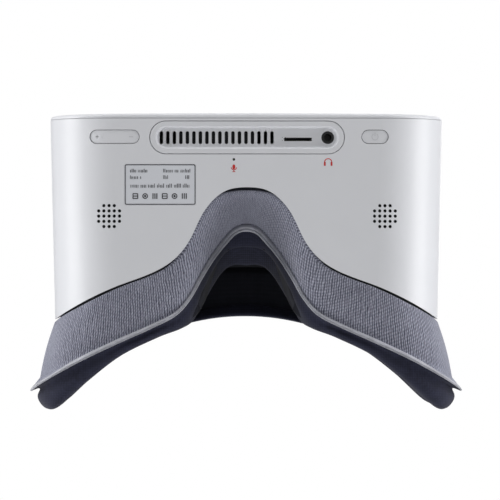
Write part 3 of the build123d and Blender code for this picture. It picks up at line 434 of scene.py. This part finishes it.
# The cloth rolls into the seam: distance from the shell's edge, and height over its surface.
rolled = ((1.0, -3.0), (1.0, -1.8), (1.06, -0.8), (1.22, -0.25), (1.6, 0.02))
lining_cloth = woven("dark_lining", (0.004, 0.0045, 0.010), (0.014, 0.016, 0.028), 0.7 * MM, 0.95, 0.05)
knit_cloth = knit("grey_knit", (0.042, 0.044, 0.070), (0.46, 0.47, 0.57))
reach = unit(tip - lip)
span = np.linalg.norm(tip - lip, axis=1)[:, None]
flare = np.clip((span - 2.6) / 4.0, 0, 1)
edge = lip + reach * (span * TURNED_SHARE * flare)
shell_normal = unit(outward * (1, 0, 1))
seam_along = unit(np.roll(seam, -1, axis=0) - np.roll(seam, 1, axis=0))
seam_back = unit(np.cross(seam_along, shell_normal))
seam_back *= np.sign((seam_back * back).sum(axis=1))[:, None]
# The gap at the shell's edge is smaller at the temples.
closing = 1 - 0.4 * weight(seam, TEMPLE_FROM, TEMPLE_TO)
rows = [seam + seam_back * (gap * closing + 0.3 * at_nose) + shell_normal * lift for gap, lift in rolled]
start = rows[-1]
for k in range(1, BANDS + 1):
    t = k / BANDS
    rows.append(start + (lip - start) * t + outward * BULGE * math.sin(math.pi * t))
for k in range(1, TURNED_BANDS + 1):
    rows.append(lip + (edge - lip) * (k / TURNED_BANDS) + reach * 0.08 * k)
under = [row - outward * CLOTH for row in reversed(rows[2:])]
ring_rows = rows + under
lengths = [0.0]
for k in range(1, len(ring_rows) + 1):
    gap = ring_rows[k % len(ring_rows)] - ring_rows[k - 1]
    lengths.append(lengths[-1] + float(np.linalg.norm(gap, axis=1).mean()))
skirt = swept("knit_skirt", ring_rows, knit_cloth, lengths, lining_cloth, len(rows) + 1)
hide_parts("gasket_fabric")

# ---------------------------------------------------------------- piping round the lip

piping_cloth = woven("piping_weave", (0.26, 0.265, 0.30), (0.66, 0.67, 0.74), 0.55 * MM, 0.8, 0.5)
depthwise = unit(np.cross(along, reach))
depthwise *= np.sign((depthwise * back).sum(axis=1))[:, None]
# Millimetres: the piping's thickness, what the nose adds to it and what the wide temples take off.
PIPING, PIPING_NOSE, PIPING_TEMPLE = 1.3, 1.5, 0.45
thick = PIPING + PIPING_NOSE * at_nose - PIPING_TEMPLE * flare
width = np.linalg.norm(tip - edge, axis=1)[:, None]
# Two beads side by side, with a groove between them: share of the width, and of the thickness.
section = (
    (-0.5, -0.10), (0.25, -0.16), (0.6, -0.12), (0.85, 0.0), (0.98, 0.16), (1.0, 0.3), (0.94, 0.43),
    (0.52, 0.5), (0.93, 0.57), (0.98, 0.7), (0.96, 0.86), (0.82, 0.98), (0.55, 1.05), (0.2, 1.06),
    (-0.5, 1.0),
)
rows = [edge + reach * width * u + depthwise * thick * v for u, v in section]
piping = swept("lip_piping", rows, piping_cloth)
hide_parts("gasket_piping")

# ---------------------------------------------------------------- foam cushion

foam_cloth = woven("brushed_foam", (0.0065, 0.0075, 0.021), (0.024, 0.0268, 0.061), 0.8 * MM, 0.9, 0.05)
CHEEK_X, CHEEK_SPREAD, CHEEK_TOP = 46, 24, 20
FOAM_TEMPLE_TO = 96
# The foam's skin runs from under the skirt round the fins and the rear face to the eyes. In
# millimetres, it is drawn in at the cheeks and stands out at the fins' feet and at the temples.
CHEEK_IN, FIN_OUT, TEMPLE_OUT = 1.9, 1.4, 4.5
lip_rear = lip + depthwise * thick * 1.02
outer_edge = lip_rear - outward * (0.9 + 1.2 * at_nose)
fin = outer_edge + (tip + depthwise * thick - outer_edge) * 0.93 * flare
cheek = np.clip(1 - np.abs(np.abs(lip[:, :1]) - CHEEK_X) / CHEEK_SPREAD, 0, 1) * (lip[:, 2:] < CHEEK_TOP)
fin_foot = outer_edge + (face - outer_edge) * 0.26 + outward * (FIN_OUT * flare - CHEEK_IN * cheek)
temple = weight(lip, TEMPLE_FROM, FOAM_TEMPLE_TO)
middle = outer_edge * 0.36 + face * 0.64 + outward * (0.8 + TEMPLE_OUT * temple + 0.6 * cheek)
inner_front = inner + (lip - face) * 0.85
inner_front[:, 0] = inner[:, 0]
front_edge = outer_edge - outward * 2.2 - back * (1.2 - at_nose)
foam_section = [front_edge, outer_edge, fin, fin, fin_foot, middle]
foam_section += [face, (face + inner) / 2, inner, inner_front]


def rounded(section_rows, passes):
    """Closed section with its corners cut off, once in each pass."""
    for _ in range(passes):
        cut = []
        for here, after in zip(section_rows, section_rows[1:] + section_rows[:1]):
            cut += [0.75 * here + 0.25 * after, 0.25 * here + 0.75 * after]
        section_rows = cut
    return section_rows


def swell(obj, cap, pressure=4.0, frames=20):
    """Inflates a closed foam piece a little by cloth simulation, so its skin pulls tight."""
    mesh = obj.data
    scene = bpy.context.scene
    before = np.array([v.co for v in mesh.vertices])
    cloth = obj.modifiers.new("cloth", "CLOTH")
    cloth.settings.use_pressure = True
    cloth.settings.uniform_pressure_force = pressure
    cloth.settings.effector_weights.gravity = 0.0
    cloth.point_cache.frame_start = 1
    cloth.point_cache.frame_end = frames
    for number in range(1, frames + 1):
        scene.frame_set(number)
    swollen = obj.evaluated_get(bpy.context.evaluated_depsgraph_get()).data
    moved = np.array([v.co for v in swollen.vertices]) - before
    moved -= moved.mean(axis=0)
    size = np.linalg.norm(moved, axis=1, keepdims=True)
    moved *= np.minimum(1.0, cap / np.maximum(size, 1e-9))
    obj.modifiers.clear()
    mesh.vertices.foreach_set("co", (before + moved).ravel())
    mesh.update()
    scene.frame_set(1)
    smooth = obj.modifiers.new("subdivision", "SUBSURF")
    smooth.levels = smooth.render_levels = 1
    return obj


FOAM_SWELL = 0.8 * MM
cushion = swell(swept("face_foam", rounded(foam_section, 2), foam_cloth), FOAM_SWELL)
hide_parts("face_cushion")

# ---------------------------------------------------------------- inner lining and nose flap

# The lining starts inside the foam, keeps behind the skirt at the nose, and ends by the frame.
LINING_BOW, LINING_THICK, LINING_ROWS = 3.6, 0.8, 7
liner_out = (inner_front + inner) / 2 + outward * (2.2 - 1.4 * at_nose)
liner_front = seam + (lip - seam) * 0.16 - outward * 2.4
bow = outward * LINING_BOW * at_nose
steps = [
    liner_out + (liner_front - liner_out) * t - bow * 4 * t * (1 - t) for t in np.linspace(0, 1, LINING_ROWS)
]
inward = unit(centre - liner_out)
lining = swept("eye_lining", steps + [row - inward * LINING_THICK for row in reversed(steps)], lining_cloth)

FLAP_REACH = 5 * STEPS
# Millimetres: the lip's thickness and sag, and how far its tip lies behind the foam and above it.
FLAP_THICK, FLAP_SAG = 1.4, 0.7
FLAP_BACK, FLAP_UP = 8.6, 4.2
flap_order = list(range(-FLAP_REACH, FLAP_REACH + 1))
flap_cloth = woven("flap_knit", (0.007, 0.0078, 0.018), (0.028, 0.031, 0.062), 0.9 * MM, 0.92, 0.08)


def flap_piece():
    """Soft dark lip that starts inside the foam and carries the nose arch on to the rear."""
    bm = bmesh.new()
    rows = []
    bands = 8
    for j in flap_order:
        taper = max(0.0, 1 - abs(j) / FLAP_REACH)
        ease = taper**0.45
        root = 0.42 * face[j] + 0.36 * inner[j] + 0.22 * outer_edge[j]
        tip_end = 0.55 * face[j] + 0.45 * inner[j] + np.array((-0.06 * lip[j][0], FLAP_BACK, FLAP_UP))
        rise = (tip_end - root) * max(ease, 0.12)
        row = []
        for k in range(bands + 1):
            t = k / bands
            sag = math.sin(math.pi * t) * FLAP_SAG * ease
            row.append(root + rise * t + np.array((0, 0, -sag)))
        rows.append(row)
    top = [[bm.verts.new(place(*(p + np.array((0, 0, FLAP_THICK))))) for p in row] for row in rows]
    low = [[bm.verts.new(place(*p)) for p in row] for row in rows]
    last = len(rows) - 1
    for i in range(last):
        for k in range(bands):
            bm.faces.new((low[i][k], low[i + 1][k], low[i + 1][k + 1], low[i][k + 1]))
            bm.faces.new((top[i][k], top[i][k + 1], top[i + 1][k + 1], top[i + 1][k]))
        bm.faces.new((low[i][bands], low[i + 1][bands], top[i + 1][bands], top[i][bands]))
        bm.faces.new((low[i + 1][0], low[i][0], top[i][0], top[i + 1][0]))
    for k in range(bands):
        bm.faces.new((low[0][k], low[0][k + 1], top[0][k + 1], top[0][k]))
        bm.faces.new((low[last][k + 1], low[last][k], top[last][k], top[last][k + 1]))
    for quad in bm.faces:
        quad.smooth = True
    return piece(bm, "nose_lip", [flap_cloth], "gasket")


flap = flap_piece()
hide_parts("nose_flap")

# ---------------------------------------------------------------- printed and embossed marks


def rounded_outline(x, distance, width, length, radius, count=6):
    """Rounded rectangle as a list of points."""
    points = []
    corners = ((1, 1, 0), (-1, 1, 90), (-1, -1, 180), (1, -1, 270))
    for across, deep, angle in corners:
        for k in range(count + 1):
            turn = math.radians(angle + 90 * k / count)
            points.append(
                (
                    x + across * (width / 2 - radius) + radius * math.cos(turn),
                    distance + deep * (length / 2 - radius) + radius * math.sin(turn),
                )
            )
    return points


def disc(x, distance, radius, count=20):
    """Circle as a list of points."""
    turns = [2 * math.pi * k / count for k in range(count)]
    return [(x + radius * math.cos(a), distance + radius * math.sin(a)) for a in turns]


def arc_band(x, distance, radius, width, first, last, count=16):
    """Part of a ring as a closed outline, between two angles in degrees."""
    angles = [math.radians(first + (last - first) * k / count) for k in range(count + 1)]
    sides = ((radius + width / 2, angles), (radius - width / 2, reversed(angles)))
    return [(x + r * math.cos(a), distance + r * math.sin(a)) for r, order in sides for a in order]


def ring(outside, inside):
    """Quads between two outlines of the same count."""
    count = len(outside)
    return [
        [outside[k], outside[(k + 1) % count], inside[(k + 1) % count], inside[k]] for k in range(count)
    ]


def marks(name, outlines, low, high, material, body, slot):
    """Thin raised shapes between two heights, in one piece."""
    bm = bmesh.new()
    for outline in outlines:
        bottom = [bm.verts.new(place(x, d, low)) for x, d in outline]
        top = [bm.verts.new(place(x, d, high)) for x, d in outline]
        bm.faces.new(bottom)
        bm.faces.new(top)
        for k in range(len(outline)):
            nxt = (k + 1) % len(outline)
            bm.faces.new((bottom[k], bottom[nxt], top[nxt], top[k]))
    return piece(bm, name, [material], body)


# Heights of the back and the face of a printed mark, in millimetres.
PRINT = (-0.03, 0.01)
LABEL = (-40.0, 32.9)
LABEL_WIDTH, LABEL_LENGTH = 32.6, 18.7
LINE_OUT, LINE_IN = 0.2, 0.85
random.seed(7)
frame_line = ring(
    rounded_outline(*LABEL, LABEL_WIDTH - LINE_OUT, LABEL_LENGTH - LINE_OUT, 0.8),
    rounded_outline(*LABEL, LABEL_WIDTH - LINE_IN, LABEL_LENGTH - LINE_IN, 0.55),
)


def text_row(x_start, x_end, distance, tall):
    """Row of short bars of uneven width and height, which stand for a line of print."""
    bars, x = [], x_start
    while x < x_end - 0.6:
        for _ in range(random.randint(3, 7)):
            width = random.uniform(0.2, 0.34)
            if x + width > x_end:
                break
            height = tall * random.choice((0.7, 0.72, 1.0))
            shift = (tall - height) / 2
            bars.append(rounded_outline(x + width / 2, distance + shift, width, height, 0.1, 2))
            x += width + random.uniform(0.3, 0.5)
        x += 0.7
    return bars


# Each row's start and end in x, its distance behind the front, and how tall its bars are.
rows = (
    (-53.8, -44.5, 26.5, 1.7), (-38.5, -26.0, 26.5, 1.7), (-53.8, -48.5, 29.5, 1.7),
    (-38.5, -35.8, 29.5, 1.7), (-28.4, -26.0, 29.5, 1.7), (-53.6, -26.2, 33.4, 1.9),
)
print_rows = [bar for row in rows for bar in text_row(*row)]
marks("label_lines", frame_line + print_rows, *PRINT, ink, "headset", "label_print")
icons = []
SYMBOL_X, SYMBOL_ROW, SYMBOL_PITCH, SYMBOL = -51.4, 38.2, 4.5, 2.6
for k in range(6):
    x = SYMBOL_X + SYMBOL_PITCH * k
    if k % 3 == 0:
        icons += ring(
            rounded_outline(x, SYMBOL_ROW, SYMBOL, SYMBOL, 0.4),
            rounded_outline(x, SYMBOL_ROW, SYMBOL - 0.8, SYMBOL - 0.8, 0.2),
        )
        icons.append(rounded_outline(x, SYMBOL_ROW, SYMBOL - 0.8, 0.4, 0.1, 2))
    elif k % 3 == 1:
        icons += ring(disc(x, SYMBOL_ROW, SYMBOL / 2), disc(x, SYMBOL_ROW, SYMBOL / 2 - 0.42))
        icons.append(disc(x, SYMBOL_ROW, 0.5))
    else:
        for bar in (-0.9, 0, 0.9):
            icons.append(rounded_outline(x + bar, SYMBOL_ROW, 0.45, SYMBOL, 0.15, 2))
marks("label_symbols", icons, *PRINT, ink, "headset", "label_print")

MIC_X, MIC_ROW = -6.1, 25.2
mic = [rounded_outline(MIC_X, MIC_ROW - 0.45, 1.25, 2.2, 0.6)]
mic.append(arc_band(MIC_X, MIC_ROW - 0.25, 1.2, 0.35, 0, 180))
mic.append(rounded_outline(MIC_X, MIC_ROW + 1.35, 0.35, 0.8, 0.1, 2))
mic.append(rounded_outline(MIC_X, MIC_ROW + 1.75, 1.4, 0.3, 0.1, 2))
PHONE_X, PHONE_ROW = 37.3, 22.6
phones = [arc_band(PHONE_X, PHONE_ROW, 1.65, 0.4, 180, 360)]
for way in (-1, 1):
    phones.append(rounded_outline(PHONE_X + way * 1.55, PHONE_ROW + 0.75, 0.85, 1.9, 0.35))
marks("red_symbols", mic + phones, *PRINT, red_ink, "headset", "label_print")

KEY_FACE, KEY_ROW = 0.4, 10.9
# The signs on the keys are sunk in a little, and stand 0.1 mm over the face.
KEY_MARK = (KEY_FACE - 0.16, KEY_FACE + 0.1)
BAR, BAR_WIDTH, BAR_CORNER = 2.0, 0.5, 0.2
PLUS_X, MINUS_X, POWER_X = -69.0, -53.4, 58.9
signs = [rounded_outline(PLUS_X, KEY_ROW, BAR, BAR_WIDTH, BAR_CORNER, 2)]
signs.append(rounded_outline(PLUS_X, KEY_ROW, BAR_WIDTH, BAR, BAR_CORNER, 2))
signs.append(rounded_outline(MINUS_X, KEY_ROW, BAR, BAR_WIDTH, BAR_CORNER, 2))
marks("volume_marks", signs, *KEY_MARK, key_mark_paint, "volume_rocker", "shell_white")
power = [arc_band(POWER_X, KEY_ROW, 1.45, 0.4, -60, 240)]
power.append(rounded_outline(POWER_X, KEY_ROW - 1.15, 0.4, 1.7, 0.15, 2))
marks("power_mark", power, *KEY_MARK, key_mark_paint, "power_button", "shell_white")

DOT_X, DOT_ROW, DOT_PITCH, DOT = 16.2, 11.2, 0.7, 0.16
dots = [(i, j) for i in range(3) for j in range(3) if (i + j) % 2 == 0]
card_mark = [disc(DOT_X + DOT_PITCH * i, DOT_ROW + DOT_PITCH * j, DOT, 8) for i, j in dots]
marks("card_mark", card_mark, *PRINT, ink, "headset", "label_print")

# ---------------------------------------------------------------- stage, light and camera

floor_mesh = bpy.data.meshes.new("floor")
FLOOR_HALF, FLOOR_DROP = 4.0, -0.0012
FLOOR_GLOW, FLOOR_GREY = 0.74, 0.08
floor_mesh.from_pydata(
    [(x * FLOOR_HALF, y * FLOOR_HALF, FLOOR_DROP) for x, y in ((-1, -1), (1, -1), (1, 1), (-1, 1))],
    [],
    [(0, 1, 2, 3)],
)
floor = bpy.data.objects.new("floor", floor_mesh)
bpy.context.scene.collection.objects.link(floor)
floor_paint, tree, shader = new_material("floor_paint")
shader.inputs["Roughness"].default_value = 0.9
tone = ramp(tree, noise(tree, 3.0, 2.0), ((0.3, (0.97, 0.97, 0.98)), (0.7, (1.0, 1.0, 1.0))))
tree.links.new(tone, shader.inputs["Emission Color"])
shader.inputs["Emission Strength"].default_value = FLOOR_GLOW
shader.inputs["Base Color"].default_value = (FLOOR_GREY, FLOOR_GREY, FLOOR_GREY, 1.0)
shader.inputs["Specular IOR Level"].default_value = 0.1
see_through = tree.nodes.new("ShaderNodeBsdfTransparent")
either = tree.nodes.new("ShaderNodeMixShader")
tree.links.new(tree.nodes.new("ShaderNodeNewGeometry").outputs["Backfacing"], either.inputs["Fac"])
tree.links.new(shader.outputs["BSDF"], either.inputs[1])
tree.links.new(see_through.outputs["BSDF"], either.inputs[2])
tree.links.new(either.outputs["Shader"], tree.nodes["Material Output"].inputs["Surface"])
floor_mesh.materials.append(floor_paint)
floor.visible_shadow = False
floor.visible_diffuse = False
floor.visible_glossy = False
floor.visible_transmission = False

world = bpy.data.worlds.new("studio")
bpy.context.scene.world = world
world.use_nodes = True
tree = world.node_tree
background = tree.nodes["Background"]
AMBIENT = 0.21
is_camera = tree.nodes.new("ShaderNodeLightPath").outputs["Is Camera Ray"]
strength = calc(tree, "MULTIPLY_ADD", is_camera, 1.0 - AMBIENT, AMBIENT)
background.inputs["Color"].default_value = (1.0, 1.0, 1.0, 1.0)
tree.links.new(strength, background.inputs["Strength"])


MIDDLE = Vector((0.0, 0.0, 0.05))


def softbox(name, position, width, height, power):
    """Area light at a place in metres that faces the middle of the object."""
    light = bpy.data.lights.new(name, "AREA")
    light.shape = "RECTANGLE"
    light.size, light.size_y = width, height
    light.energy = power
    obj = bpy.data.objects.new(name, light)
    obj.location = position
    aim = MIDDLE - Vector(position)
    obj.rotation_euler = aim.to_track_quat("-Z", "Y").to_euler()
    bpy.context.scene.collection.objects.link(obj)
    return obj


# Name, place, width and height in metres, and power in watts.
softboxes = (
    ("side_-1", (-0.75, 0.0, -0.06), 1.0, 0.4, 4.7),
    ("side_1", (0.75, 0.0, -0.06), 1.0, 0.4, 4.7),
    ("wearer_side", (0.0, 0.85, -0.35), 1.0, 0.6, 3.3),
    ("front_side", (0.0, -0.85, -0.12), 1.0, 0.5, 4.4),
    ("below", (0.0, -0.1, -1.6), 1.4, 1.4, 1.5),
    ("above", (0.3, -0.4, 1.2), 1.0, 1.0, 3.2),
    ("above_rear", (-0.5, 0.7, 0.9), 0.8, 0.8, 1.8),
)
for box in softboxes:
    softbox(*box)

AIM = Vector((0.00133, -0.006, 0.0))
CAMERA_SPOT = Vector((-0.015, -0.006, -1.4))
FOCAL = 219.1
camera_data = bpy.data.cameras.new("camera")
camera_data.sensor_width = 36.0
camera_data.lens = FOCAL
camera_data.clip_end = 20.0
camera = bpy.data.objects.new("camera", camera_data)
ahead = (AIM - CAMERA_SPOT).normalized()
right_hand = ahead.cross(Vector((0, -1, 0))).normalized()
upward = right_hand.cross(ahead)
camera.matrix_world = Matrix((right_hand, upward, -ahead)).transposed().to_4x4()
camera.location = CAMERA_SPOT
bpy.context.scene.collection.objects.link(camera)
bpy.context.scene.camera = camera
bpy.context.scene.view_settings.view_transform = "Standard"
